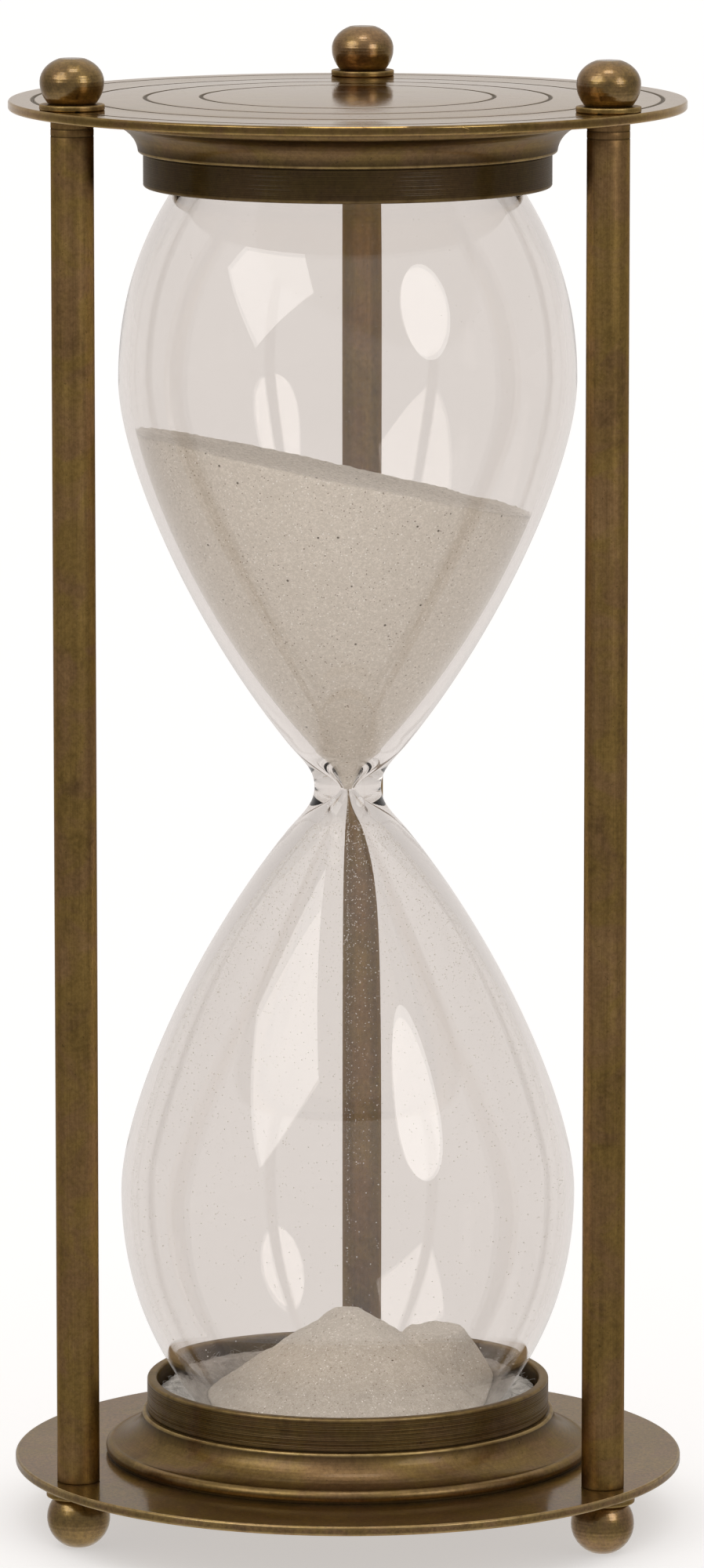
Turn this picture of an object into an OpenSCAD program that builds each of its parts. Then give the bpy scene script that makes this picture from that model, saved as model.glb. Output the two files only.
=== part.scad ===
// Hourglass: a blown glass between two brass plates, on three pillars.
// The origin is on the table, under the centre of the object. The back pillar is towards +Y.

/* [Plates] */
// Diameter of the two round plates
plate_d = 127; // [124:0.5:140]
// Thickness of a plate at its edge
plate_t = 1.8; // [1.5:0.1:2.5]
// How far the outer face of a plate rises in the middle
plate_dome = 0.6; // [0.2:0.1:0.8]
// Radius of the innermost turned groove
groove_first_r = 27.4; // [24:0.1:28]
// Distance from one turned groove to the next
groove_step = 10.5; // [9:0.1:10.6]

/* [Pillars] */
// Diameter of a pillar
pillar_d = 8; // [7.5:0.5:9]
// Length of a pillar, which is the distance between the plates
pillar_len = 256.5; // [256:0.5:257]
// Distance from the axis of the object to the axis of a pillar
pillar_circle_r = 57; // [56:0.1:57]

/* [Ball nuts] */
// Diameter of the turned balls, which are finials above and feet below
ball_d = 12; // [11:0.5:12]
// Height of a foot, which is nearly a whole ball
foot_h = 9.6; // [9:0.1:10]
// Height of a finial, which is flatter above its middle
finial_h = 8.4; // [8:0.1:9]
// Diameter of the threaded shank of a ball
shank_d = 4.9; // [4.5:0.1:5]
// Length of thread inside the pillar
thread_len = 8; // [7:0.5:10]
// Diameter of a washer
washer_d = 12.1; // [11.5:0.1:12.6]
// Thickness of a washer
washer_t = 1.1; // [0.8:0.1:1.5]

/* [Collars] */
// Height of a collar above the inner face of its plate
collar_h = 14.5; // [14:0.1:15]
// Radius of the bead at the foot of the flare
collar_foot_r = 46.2; // [46:0.1:48]
// Outer radius of the straight ring
collar_ring_r = 38.3; // [38:0.1:38.8]
// Wall thickness of the straight ring
collar_wall = 1.9; // [1.5:0.1:2]
// Height of the straight ring
collar_ring_h = 6.4; // [6:0.1:7]
// Height of the cotton wadding in a collar
wadding_h = 12.4; // [9:0.1:13]

/* [Glass] */
// Length of the glass from end to end
glass_len = 249; // [248:0.5:250]
// Outer radius of the neck
neck_r = 6.3; // [6:0.1:6.8]
// Outer radius of a bulb at its widest
bulb_r = 43.1; // [42:0.1:43.4]
// Diameter of the hole that the sand falls through
orifice_d = 1.8; // [1.6:0.1:2.4]
// Wall thickness of a bulb at its widest
bulb_wall = 1.8; // [1.5:0.1:2.2]
// Diameter of the hole at the upper end that the sand went in through
fill_hole_d = 9; // [8:0.5:10]

/* [Sand] */
// Height of the sand left in the upper bulb, above the neck and on the axis
upper_sand_h = 60; // [40:1:66]
// Slope of the sand's surface down to the right, in degrees
upper_tilt_x = 12; // [0:1:14]
// Slope of the sand's surface down to the back, in degrees
upper_tilt_y = 5; // [0:1:8]
// Height of the main heap above the inner face of the bottom plate
heap_h = 28; // [24:0.5:30]
// Slope of the heaps, in degrees
heap_slope = 33; // [30:1:36]
// Thickness of the falling stream
stream_d = 0.7; // [0.5:0.1:1]

/* [Hidden] */
$fn = 96;

// Directions of the pillars round the axis, from +X
LEFT = 210;
RIGHT = 330;
BACK = 90;

// Heights of the faces, from the table up
bottom_plate_z = foot_h + washer_t;
inner_bottom_z = bottom_plate_z + plate_t;
inner_top_z = inner_bottom_z + pillar_len;
top_plate_z = inner_top_z + plate_t;
neck_z = inner_bottom_z + pillar_len / 2;

// Play round the parts that go inside others
shank_play = 0.05;
hole_play = 0.2;
sand_gap = 0.15;
edge_bevel = 0.3;

// Points on a cubic Bezier curve from a to d, without its last point
curve_steps = 12;
function bezier(a, b, c, d) = [
    for (i = [0:curve_steps - 1]) let (t = i / curve_steps, u = 1 - t)
        u * u * u * a + 3 * u * u * t * b + 3 * u * t * t * c + t * t * t * d
];

// Points on an arc round centre c, from angle a0 to angle a1
function arc(c, r, a0, a1, steps) = [
    for (i = [0:steps]) let (a = a0 + (a1 - a0) * i / steps) c + r * [cos(a), sin(a)]
];

// Half of the outline of the glass, from the neck to the end of a bulb, as [radius, distance
// from the neck]. inset moves it inwards everywhere, and neck_inset moves it further in where
// the wall grows thick towards the neck. The slopes are radius per distance, and the reaches
// are how far a curve follows the direction of its end points.
neck_taper = 15;
neck_reach = 3.6;
cone_r = 11.5;
cone_y = 8.6;
cone_slope = 0.8;
cone_reach = [3, 23];
belly_y = 77.4;
belly_reach = [14.8, 14.3];
shoulder_r = 29.9;
shoulder_y = glass_len / 2 - 7.3;
shoulder_slope = 0.75;
shoulder_reach = [12.6, 7.1];
end_r = 18.2;
end_reach = 5;
function half_outline(inset, neck_inset) =
    let (
        cone_dir = [cone_slope, 1],
        shoulder_dir = [-shoulder_slope, 1],
        neck = [neck_r, 0],
        cone = [cone_r, cone_y],
        belly = [bulb_r, belly_y],
        upper = concat(
            bezier(neck, neck + [0, neck_reach], cone - cone_reach[0] * cone_dir, cone),
            bezier(cone, cone + cone_reach[1] * cone_dir, belly - [0, belly_reach[0]], belly)
        ),
        belly_in = belly - [inset, 0],
        shoulder = [shoulder_r, shoulder_y] - inset / norm(shoulder_dir) * [1, shoulder_slope],
        end = [end_r, glass_len / 2 - inset]
    )
    concat(
        [for (p = upper) p - [inset + neck_inset * exp(-p.y / neck_taper), 0]],
        bezier(belly_in, belly_in + [0, belly_reach[1]],
            shoulder - shoulder_reach[0] * shoulder_dir, shoulder),
        bezier(shoulder, shoulder + shoulder_reach[1] * shoulder_dir, end + [end_reach, 0], end),
        [end]
    );

// The same outline turned over, from the end of the lower bulb up to the neck
function turned_over(points) = [
    for (i = [len(points) - 1:-1:1]) [points[i].x, -points[i].y]
];

// The solid inside half an outline, from the neck to the end of a bulb
module bulb_solid(half) {
    rotate_extrude() polygon(concat([[0, 0]], half, [[0, half[len(half) - 1].y]]));
}

function reversed(points) = [for (i = [len(points) - 1:-1:0]) points[i]];

// The neck's wall beyond the bulb's, so that the orifice keeps its size
neck_inset = neck_r - orifice_d / 2 - bulb_wall;
outer_half = half_outline(0, 0);
inner_half = half_outline(bulb_wall, neck_inset);
sand_half = half_outline(bulb_wall + sand_gap, neck_inset);

// Moves a part on to a pillar's axis
module at_pillar(angle) {
    rotate([0, 0, angle]) translate([pillar_circle_r, 0, 0]) children();
}

// Turns a part made for the bottom of the object over, for the top
module at_top() {
    translate([0, 0, inner_top_z + inner_bottom_z]) mirror([0, 0, 1]) children();
}

// A plate as it lies at the bottom: inner face up, domed and grooved face down
module plate() {
    plate_r = plate_d / 2;
    flat_r = pillar_circle_r - washer_d / 2 - 0.5;
    dome_steps = 10;
    difference() {
        rotate_extrude() polygon(concat(
            [[0, plate_t]],
            [for (i = [0:dome_steps]) let (r = flat_r * i / dome_steps) [r, dome_z(r, flat_r)]],
            [
                [plate_r - edge_bevel, 0], [plate_r, edge_bevel],
                [plate_r, plate_t - edge_bevel], [plate_r - edge_bevel, plate_t]
            ]
        ));
        for (i = [0:3]) {
            ring_r = groove_first_r + i * groove_step;
            translate([0, 0, dome_z(ring_r, flat_r)]) turned_groove(ring_r);
        }
        for (angle = [LEFT, RIGHT, BACK]) at_pillar(angle)
            translate([0, 0, -1]) cylinder(d = shank_d + 2 * hole_play, h = plate_t + 2);
    }
}

// How far below the rim's level the domed face lies at radius r
function dome_z(r, flat_r) = r < flat_r ? -plate_dome * (1 - pow(r / flat_r, 2)) : 0;

// A V-shaped groove to cut upwards from the level 0
module turned_groove(ring_r) {
    half_w = 0.35;
    deep = 0.3;
    rotate_extrude() translate([ring_r, 0])
        polygon([[-half_w, -deep], [half_w, -deep], [half_w, 0], [0, deep], [-half_w, 0]]);
}

module bottom_plate() {
    color("darkgoldenrod") translate([0, 0, bottom_plate_z]) plate();
}

module top_plate() {
    color("darkgoldenrod") at_top() translate([0, 0, bottom_plate_z]) plate();
}

// A collar stands on its plate: a bead at its foot, a hollow flare, a rounded lip and a straight
// ring with a rim
module collar() {
    lip = [collar_ring_r + 1, collar_h - collar_ring_h - 0.5];
    bead_r = 1.25;
    bead = [collar_foot_r - bead_r, bead_r];
    bead_arc = arc(bead, bead_r, -60, 100, 8);
    bead_top = bead_arc[len(bead_arc) - 1];
    bore_r = collar_ring_r - collar_wall;
    rim_round = 0.5;
    rotate_extrude() polygon(concat(
        [[bore_r, 0], [bead_arc[0].x, 0]],
        bead_arc,
        bezier(bead_top, bead_top + [-2.6, 0.5], lip - [-0.3, 2.6], lip),
        arc(lip - [0.5, 0], 0.5, 0, 90, 4),
        [[collar_ring_r, lip.y + 0.5]],
        arc([collar_ring_r - rim_round, collar_h - rim_round], rim_round, 0, 90, 4),
        arc([bore_r + rim_round, collar_h - rim_round], rim_round, 90, 180, 4)
    ));
}

module bottom_collar() {
    color("goldenrod") translate([0, 0, inner_bottom_z]) collar();
}

module top_collar() {
    color("goldenrod") at_top() translate([0, 0, inner_bottom_z]) collar();
}

// A round rod with a tapped hole in each end
module pillar(angle) {
    bore_deep = thread_len + 1.5;
    color("peru") at_pillar(angle) difference() {
        translate([0, 0, inner_bottom_z]) cylinder(d = pillar_d, h = pillar_len);
        for (z = [inner_bottom_z - 1, inner_top_z - bore_deep])
            translate([0, 0, z]) cylinder(d = shank_d + 2 * shank_play, h = bore_deep + 1);
    }
}

// A turned ball below its seat at the level 0, with its flat down and its threaded shank up. Below
// its middle it is squeezed or stretched to make up the height.
module ball_nut(height) {
    ball_r = ball_d / 2;
    flat_r = ball_r * 0.4;
    flat_angle = acos(flat_r / ball_r);
    seat_above = foot_h - ball_r * sin(flat_angle);
    cap_r = (height - seat_above) / sin(flat_angle);
    seat_angle = asin(seat_above / ball_r);
    rotate_extrude() polygon(concat(
        [[0, -height]],
        [for (p = arc([0, 0], 1, -flat_angle, 0, 16)) [ball_r * p.x, cap_r * p.y - seat_above]],
        arc([0, -seat_above], ball_r, seat_angle / 10, seat_angle, 9),
        [[0, 0]]
    ));
    sunk = 1;
    tip = 0.5;
    shank_end = washer_t + plate_t + thread_len;
    translate([0, 0, -sunk]) cylinder(d = shank_d, h = shank_end - tip + sunk);
    translate([0, 0, shank_end - tip]) cylinder(d1 = shank_d, d2 = shank_d - 2 * tip, h = tip);
}

module foot(angle) {
    color("gold") at_pillar(angle) translate([0, 0, foot_h]) ball_nut(foot_h);
}

module finial(angle) {
    color("gold") at_top() at_pillar(angle) translate([0, 0, foot_h]) ball_nut(finial_h);
}

module washer() {
    difference() {
        translate([0, 0, foot_h]) cylinder(d = washer_d, h = washer_t);
        translate([0, 0, foot_h - 1]) cylinder(d = shank_d + 2 * hole_play, h = washer_t + 2);
    }
}

module foot_washer(angle) {
    color("khaki") at_pillar(angle) washer();
}

module finial_washer(angle) {
    color("khaki") at_top() at_pillar(angle) washer();
}

// Both bulbs and the neck in one piece, with the fill hole in the upper end
module glass() {
    fill_hole_r = fill_hole_d / 2;
    half_len = glass_len / 2;
    color("lightblue", 0.35) translate([0, 0, neck_z]) rotate_extrude() polygon(concat(
        [[0, -half_len]], turned_over(outer_half), outer_half,
        [[fill_hole_r, half_len], [fill_hole_r, half_len - bulb_wall]],
        reversed(inner_half), reversed(turned_over(inner_half)),
        [[0, -half_len + bulb_wall]]
    ));
}

// A cork pushed into the fill hole
module fill_stopper() {
    cork_r = fill_hole_d / 2 - 0.1;
    cork_len = 8;
    cork_top = 1.8;
    color("burlywood") translate([0, 0, neck_z + glass_len / 2 + cork_top - cork_len])
        cylinder(r1 = cork_r - 0.3, r2 = cork_r, h = cork_len);
}

// Fills the upper bulb from just above the neck to the tilted surface
module upper_sand() {
    block = 200;
    color("linen") intersection() {
        translate([0, 0, neck_z]) bulb_solid(sand_half);
        translate([0, 0, neck_z + upper_sand_h]) rotate([-upper_tilt_y, upper_tilt_x, 0])
            translate([-block / 2, -block / 2, -block]) cube(block);
    }
}

// The heap under the neck, on sand that fills the round bottom of the bulb
module lower_sand() {
    heap_base = 9.8;
    tip_r = 1.5;
    side_heap = [16, 8];
    side_heap_h = 24;
    side_tip_r = 4.5;
    color("linen") intersection() {
        translate([0, 0, neck_z]) mirror([0, 0, 1]) bulb_solid(sand_half);
        translate([0, 0, inner_bottom_z]) union() {
            cylinder(r = bulb_r, h = heap_base);
            heap(heap_h - heap_base, heap_base, tip_r);
            translate(side_heap) heap(side_heap_h - heap_base, heap_base, side_tip_r);
        }
    }
}

// A cone of sand that stands on the level base_z, with a blunt tip
module heap(height, base_z, tip_r) {
    below = 1;
    base_r = tip_r + (height + below) / tan(heap_slope);
    translate([0, 0, base_z - below]) cylinder(r1 = base_r, r2 = tip_r, h = height + below);
}

// Grains falling from the sand in the neck to the top of the heap
module sand_stream() {
    heap_top_z = inner_bottom_z + heap_h;
    color("white") translate([0, 0, heap_top_z])
        cylinder(d = stream_d, h = neck_z - heap_top_z);
}

// Cotton packed round the end of the glass and between it and the plate
module wadding() {
    wadding_gap = 0.1;
    difference() {
        translate([0, 0, inner_bottom_z + wadding_gap])
            cylinder(r = collar_ring_r - collar_wall - wadding_gap, h = wadding_h - wadding_gap);
        translate([0, 0, neck_z]) mirror([0, 0, 1]) bulb_solid(half_outline(-wadding_gap, 0));
    }
}

module bottom_wadding() {
    color("whitesmoke") wadding();
}

module top_wadding() {
    cork_room = 2;
    color("whitesmoke") difference() {
        at_top() wadding();
        translate([0, 0, neck_z + glass_len / 2 - 1]) cylinder(d = fill_hole_d, h = cork_room + 1);
    }
}

bottom_plate();
top_plate();
bottom_collar();
top_collar();
pillar(LEFT);  // pillar_left
pillar(RIGHT);  // pillar_right
pillar(BACK);  // pillar_back
finial(LEFT);  // finial_left
finial(RIGHT);  // finial_right
finial(BACK);  // finial_back
finial_washer(LEFT);  // finial_washer_left
finial_washer(RIGHT);  // finial_washer_right
finial_washer(BACK);  // finial_washer_back
foot(LEFT);  // foot_left
foot(RIGHT);  // foot_right
foot(BACK);  // foot_back
foot_washer(LEFT);  // foot_washer_left
foot_washer(RIGHT);  // foot_washer_right
foot_washer(BACK);  // foot_washer_back
glass();
fill_stopper();
upper_sand();
lower_sand();
sand_stream();
top_wadding();
bottom_wadding();
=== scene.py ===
"""Looks of the hourglass: brass plates, pillars and ball nuts, blown glass, sand and cotton.

Shapes are worked out in millimetres and turned into metres when a mesh is made.
"""

import math

import bmesh
import bpy
import numpy as np
from mathutils import Matrix, Quaternion, Vector, noise


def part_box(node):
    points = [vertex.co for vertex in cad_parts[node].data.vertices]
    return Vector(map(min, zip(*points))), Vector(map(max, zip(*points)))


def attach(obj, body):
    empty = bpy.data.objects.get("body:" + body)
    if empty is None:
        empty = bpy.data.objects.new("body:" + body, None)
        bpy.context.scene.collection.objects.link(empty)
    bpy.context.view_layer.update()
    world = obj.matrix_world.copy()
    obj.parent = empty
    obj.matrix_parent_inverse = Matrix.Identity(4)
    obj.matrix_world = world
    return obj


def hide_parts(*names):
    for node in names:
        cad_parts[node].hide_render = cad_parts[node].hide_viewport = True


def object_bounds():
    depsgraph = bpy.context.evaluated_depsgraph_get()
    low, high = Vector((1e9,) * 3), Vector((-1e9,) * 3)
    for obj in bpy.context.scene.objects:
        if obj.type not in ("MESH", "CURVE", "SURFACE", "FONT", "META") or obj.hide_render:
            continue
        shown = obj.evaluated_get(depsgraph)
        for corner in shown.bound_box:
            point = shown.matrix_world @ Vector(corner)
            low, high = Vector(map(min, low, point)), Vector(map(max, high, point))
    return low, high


MM = 0.001
SIDES = {"left": 210, "right": 330, "back": 90}

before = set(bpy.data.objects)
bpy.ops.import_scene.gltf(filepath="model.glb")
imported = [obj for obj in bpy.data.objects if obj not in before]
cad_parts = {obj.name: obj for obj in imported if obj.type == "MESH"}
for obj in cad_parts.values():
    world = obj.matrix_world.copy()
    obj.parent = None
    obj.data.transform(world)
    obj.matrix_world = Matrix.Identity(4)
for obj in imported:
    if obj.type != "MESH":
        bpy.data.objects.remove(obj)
cad_low, cad_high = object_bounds()


# ---------------------------------------------------------------- places from the CAD model

def box_mm(node):
    """Lowest and highest corner of a CAD node, in millimetres."""
    low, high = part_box(node)
    return low / MM, high / MM


def axis_of(node):
    """Where the upright axis through the middle of a CAD node stands, in millimetres."""
    low, high = box_mm(node)
    return (low.x + high.x) / 2, (low.y + high.y) / 2


PILLAR_LOW, PILLAR_HIGH = box_mm("pillar_left")
INNER_BOTTOM = PILLAR_LOW.z
INNER_TOP = PILLAR_HIGH.z
NECK_Z = (INNER_BOTTOM + INNER_TOP) / 2
PILLAR_R = (PILLAR_HIGH.x - PILLAR_LOW.x) / 2
PLATE_R = (box_mm("bottom_plate")[1].x - box_mm("bottom_plate")[0].x) / 2
WASHER_LOW, WASHER_HIGH = box_mm("foot_washer_left")
WASHER_T = WASHER_HIGH.z - WASHER_LOW.z
PLATE_T = INNER_BOTTOM - WASHER_HIGH.z
FOOT_H = WASHER_LOW.z
FINIAL_H = box_mm("finial_left")[1].z - box_mm("finial_washer_left")[1].z
GLASS_HALF = (box_mm("glass")[1].z - box_mm("glass")[0].z) / 2
COLLAR_LOW, COLLAR_HIGH = box_mm("bottom_collar")
COLLAR_H = COLLAR_HIGH.z - COLLAR_LOW.z
COLLAR_FOOT_R = (COLLAR_HIGH.x - COLLAR_LOW.x) / 2
WADDING_H = box_mm("bottom_wadding")[1].z - INNER_BOTTOM


# ---------------------------------------------------------------- outlines

def bezier(a, b, c, d, steps):
    """Points on a cubic curve from a to d, without its last point."""
    a, b, c, d = (np.array(p, float) for p in (a, b, c, d))
    points = []
    for i in range(steps):
        t = i / steps
        u = 1 - t
        points.append(u**3 * a + 3 * u * u * t * b + 3 * u * t * t * c + t**3 * d)
    return points


def arc(r, z, radius, start, end, steps):
    """Points (r, z, angle) on an arc about a middle at r, z. Angles are degrees."""
    points = []
    for k in range(steps + 1):
        angle = start + (end - start) * k / steps
        a = math.radians(angle)
        points.append((r + radius * math.cos(a), z + radius * math.sin(a), angle))
    return points


CORNER_STEPS = 5


def rounded(corners, guard=0.5):
    """An outline of [r, z, wear, grime] from corners (r, z, radius, wear, grime). Each corner is
    filleted, and wear and grime fade out within guard of it."""
    rows = []
    count = len(corners)
    for i, (r, z, radius, wear, grime) in enumerate(corners):
        here = np.array((r, z), float)
        if i == 0 or i == count - 1:
            rows.append([r, z, wear, grime])
            continue
        before = np.array(corners[i - 1][:2], float) - here
        after = np.array(corners[i + 1][:2], float) - here
        reach_in, reach_out = np.linalg.norm(before), np.linalg.norm(after)
        before /= reach_in
        after /= reach_out
        half = math.acos(max(-1.0, min(1.0, float(before @ after)))) / 2
        if radius <= 0 or half > 1.5:
            rows.append([r, z, wear, grime])
            continue
        cut = min(radius / math.tan(half), 0.45 * reach_in, 0.45 * reach_out)
        fade_in = min(cut + guard, 0.49 * reach_in)
        fade_out = min(cut + guard, 0.49 * reach_out)
        rows.append([*(here + before * fade_in), 0, 0])
        start, end = here + before * cut, here + after * cut
        for k in range(CORNER_STEPS + 1):
            t = k / CORNER_STEPS
            point = (1 - t) ** 2 * start + 2 * t * (1 - t) * here + t * t * end
            rows.append([*point, wear, grime])
        rows.append([*(here + after * fade_out), 0, 0])
    return rows


# The glass, as (radius, distance from the neck). A slope is radius per distance, and a reach is
# how far a curve goes out of its end before it bends.
NECK_R = 6.3
NECK_REACH = 3.6
CONE = (11.5, 8.6)
CONE_SLOPE = 0.8
CONE_REACH = (3, 23)
BULB_R = 43.1
BELLY_Y = 77.4
BELLY_REACH = (14.8, 14.3)
SHOULDER = (29.9, GLASS_HALF - 7.3)
SHOULDER_SLOPE = 0.75
SHOULDER_REACH = (12.6, 7.1)
END_R = 18.2
END_REACH = 5
BULB_WALL = 1.8
NECK_INSET = 3.6
NECK_TAPER = 15
SAND_GAP = 0.15
FILL_HOLE_R = 4.5
GLASS_STEPS = 28


def half_glass(inset, neck_inset):
    """Half of the glass's outline from the neck to the end, moved inwards by inset, and by
    neck_inset more at the neck."""
    steps = GLASS_STEPS
    neck = np.array((NECK_R, 0.0))
    cone = np.array(CONE)
    cone_dir = np.array((CONE_SLOPE, 1))
    belly = np.array((BULB_R, BELLY_Y))
    up = np.array((0, 1))
    shoulder = np.array(SHOULDER)
    shoulder_dir = np.array((-SHOULDER_SLOPE, 1))
    normal = np.array((1, SHOULDER_SLOPE)) / np.linalg.norm(shoulder_dir)
    lower = bezier(neck, neck + NECK_REACH * up, cone - CONE_REACH[0] * cone_dir, cone, steps)
    lower += bezier(cone, cone + CONE_REACH[1] * cone_dir, belly - BELLY_REACH[0] * up, belly, steps)
    lower = [p - ((inset + neck_inset * math.exp(-p[1] / NECK_TAPER)), 0) for p in lower]
    belly_in = belly - (inset, 0)
    shoulder_in = shoulder - inset * normal
    end = np.array((END_R, GLASS_HALF - inset))
    upper = bezier(belly_in, belly_in + BELLY_REACH[1] * up,
                   shoulder_in - SHOULDER_REACH[0] * shoulder_dir, shoulder_in, steps)
    upper += bezier(shoulder_in, shoulder_in + SHOULDER_REACH[1] * shoulder_dir,
                    end + (END_REACH, 0), end, steps)
    return np.array(lower + upper + [end])


INNER_HALF = half_glass(BULB_WALL, NECK_INSET)
SAND_HALF = half_glass(BULB_WALL + SAND_GAP, NECK_INSET)
OUTER_HALF = half_glass(0, 0)


def radius_at(half, distance):
    """Radius of half an outline of the glass at a distance from the neck."""
    return float(np.interp(distance, half[:, 1], half[:, 0]))


# ---------------------------------------------------------------- meshes

def add_object(name, data):
    """A new object in the scene."""
    made = bpy.data.objects.new(name, data)
    bpy.context.scene.collection.objects.link(made)
    return made


def make_object(name, vertices, faces, place, values=None, sharp=30):
    """A mesh object from vertices in millimetres about a place in millimetres. values are
    attributes of its points, and sharp is the angle in degrees above which an edge is sharp."""
    mesh = bpy.data.meshes.new(name)
    mesh.from_pydata([tuple(float(c) * MM for c in v) for v in vertices], [], faces)
    for key, numbers in (values or {}).items():
        layer = mesh.attributes.new(key, "FLOAT", "POINT")
        layer.data.foreach_set("value", np.array(numbers, np.float32))
    work = bmesh.new()
    work.from_mesh(mesh)
    bmesh.ops.recalc_face_normals(work, faces=work.faces)
    work.to_mesh(mesh)
    work.free()
    mesh.shade_smooth()
    mesh.set_sharp_from_angle(angle=math.radians(sharp))
    piece = add_object(name, mesh)
    piece.location = Vector(place) * MM
    return piece


def skin(rings, closed=False):
    """Faces between rings of vertex numbers. A ring of one is a point on the axis, and closed
    joins the last ring to the first."""
    faces = []
    pairs = list(zip(rings, rings[1:]))
    if closed:
        pairs.append((rings[-1], rings[0]))
    for a, b in pairs:
        count = max(len(a), len(b))
        for k in range(count if count > 1 else 0):
            n = (k + 1) % count
            if len(a) == 1:
                faces.append((a[0], b[n], b[k]))
            elif len(b) == 1:
                faces.append((a[k], a[n], b[0]))
            else:
                faces.append((a[k], a[n], b[n], b[k]))
    return faces


def lathe(name, rows, place, segments, closed=False, flip=False, shape=None, sharp=30):
    """Turns rows of [r, z, wear, grime] round an upright axis. A row with r 0 is a point on the
    axis. closed joins the last row to the first. flip turns the piece over. shape(r, z, angle)
    may give each point a radius of its own."""
    vertices, wear, grime, rings = [], [], [], []
    for r, z, w, g in rows:
        if r < 1e-6:
            rings.append([len(vertices)])
            vertices.append((0, 0, z))
            wear.append(w)
            grime.append(g)
            continue
        rings.append(list(range(len(vertices), len(vertices) + segments)))
        for k in range(segments):
            angle = 2 * math.pi * k / segments
            radius = shape(r, z, angle) if shape else r
            vertices.append((radius * math.cos(angle), radius * math.sin(angle), z))
            wear.append(w)
            grime.append(g)
    if flip:
        vertices = [(x, y, -z) for x, y, z in vertices]
    values = {"wear": wear, "grime": grime}
    return make_object(name, vertices, skin(rings, closed), place, values, sharp)


def hand_in(piece, body, slot, material, *nodes):
    """Gives a finished piece its material and body, and hides the CAD nodes it stands for. slot is not
    used.
    """
    piece.data.materials.clear()
    piece.data.materials.append(material)
    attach(piece, body)
    if nodes:
        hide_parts(*nodes)
    return piece


def soft_noise(x, y, z=0.0, size=1.0, seed=0.0):
    """Smooth noise from -1 to 1 with lumps of about size millimetres."""
    return noise.noise(Vector((x / size + seed, y / size - seed, z / size + 2 * seed)))


# ---------------------------------------------------------------- material nodes

class Nodes:
    """Short ways to add nodes to a tree. Lengths are millimetres."""

    def __init__(self, tree):
        self.tree = tree

    def put(self, target, value):
        if isinstance(value, bpy.types.NodeSocket):
            self.tree.links.new(value, target)
        else:
            target.default_value = value

    def node(self, kind, inputs, **settings):
        made = self.tree.nodes.new("ShaderNode" + kind)
        for key, value in settings.items():
            setattr(made, key, value)
        for key, value in inputs.items():
            self.put(made.inputs[key], value)
        return made

    def vector(self, operation, *inputs):
        made = self.node("VectorMath", dict(enumerate(inputs)), operation=operation)
        return made.outputs["Value" if operation in ("LENGTH", "DISTANCE") else "Vector"]

    def math(self, operation, *inputs, clamp=False):
        made = self.node("Math", dict(enumerate(inputs)), operation=operation, use_clamp=clamp)
        return made.outputs[0]

    def noise(self, where, size, detail=3.0, rough=0.5, distortion=0.0):
        """Noise from 0 to 1 with lumps of about size millimetres."""
        inputs = {"Vector": where, "Scale": 1 / size, "Detail": detail, "Roughness": rough,
                  "Distortion": distortion}
        return self.node("TexNoise", inputs).outputs[0]

    def cells(self, where, size, feature="F1", output="Distance"):
        made = self.node("TexVoronoi", {"Vector": where, "Scale": 1 / size}, feature=feature)
        return made.outputs[output]

    def spread(self, value, low, high, new_low=0.0, new_high=1.0):
        """The range low to high stretched to new_low to new_high, smoothly and clamped."""
        inputs = {"Value": value, "From Min": low, "From Max": high,
                  "To Min": new_low, "To Max": new_high}
        made = self.node("MapRange", inputs, interpolation_type="SMOOTHSTEP")
        return made.outputs["Result"]

    def mix(self, share, a, b, blend="MIX"):
        made = self.node("Mix", {0: share}, data_type="RGBA", blend_type=blend)
        for socket, value in zip((6, 7), (a, b)):
            value = (*value, 1.0) if isinstance(value, tuple) else value
            self.put(made.inputs[socket], value)
        return made.outputs[2]

    def attribute(self, name):
        return self.node("Attribute", {}, attribute_name=name).outputs["Fac"]

    def bump(self, height):
        """A normal from a height in millimetres."""
        inputs = {"Height": height, "Distance": MM, "Strength": 1.0}
        return self.node("Bump", inputs).outputs["Normal"]


class Surface(Nodes):
    """A material that ends in one Principled shader."""

    def __init__(self, name, seed=0.0):
        self.material = bpy.data.materials.new(name)
        self.material.use_nodes = True
        super().__init__(self.material.node_tree)
        coords = self.node("TexCoord", {}).outputs["Object"]
        self.place = self.vector("MULTIPLY_ADD", coords, (1 / MM,) * 3, (seed,) * 3)
        self.centred = self.vector("MULTIPLY", coords, (1 / MM,) * 3)

    def finish(self, **inputs):
        shader = self.tree.nodes["Principled BSDF"]
        for key, value in inputs.items():
            self.put(shader.inputs[key.replace("_", " ")], value)
        return self.material


def along_axis(s, stretch):
    """Coordinates for marks along an upright rod, drawn out stretch times."""
    return s.vector("MULTIPLY", s.place, (1.0, 1.0, 1 / stretch))


def round_axis(s):
    """Coordinates for marks that run round an upright axis, as a lathe leaves them."""
    flat = s.vector("MULTIPLY", s.centred, (1.0, 1.0, 0.0))
    height = s.node("SeparateXYZ", {0: s.place}).outputs[2]
    return s.node("CombineXYZ", {0: s.vector("LENGTH", flat), 1: height, 2: 0.0}).outputs[0]


# Colours of aged brass. The first two tint the patches of its patina.
OLIVE = (1.0, 1.0, 0.80)
MAUVE = (0.98, 0.91, 1.02)
DARK = (0.11, 0.068, 0.026)
MID = (0.25, 0.160, 0.062)
LIGHT = (0.34, 0.225, 0.092)
WORN = (0.50, 0.36, 0.15)


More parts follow.
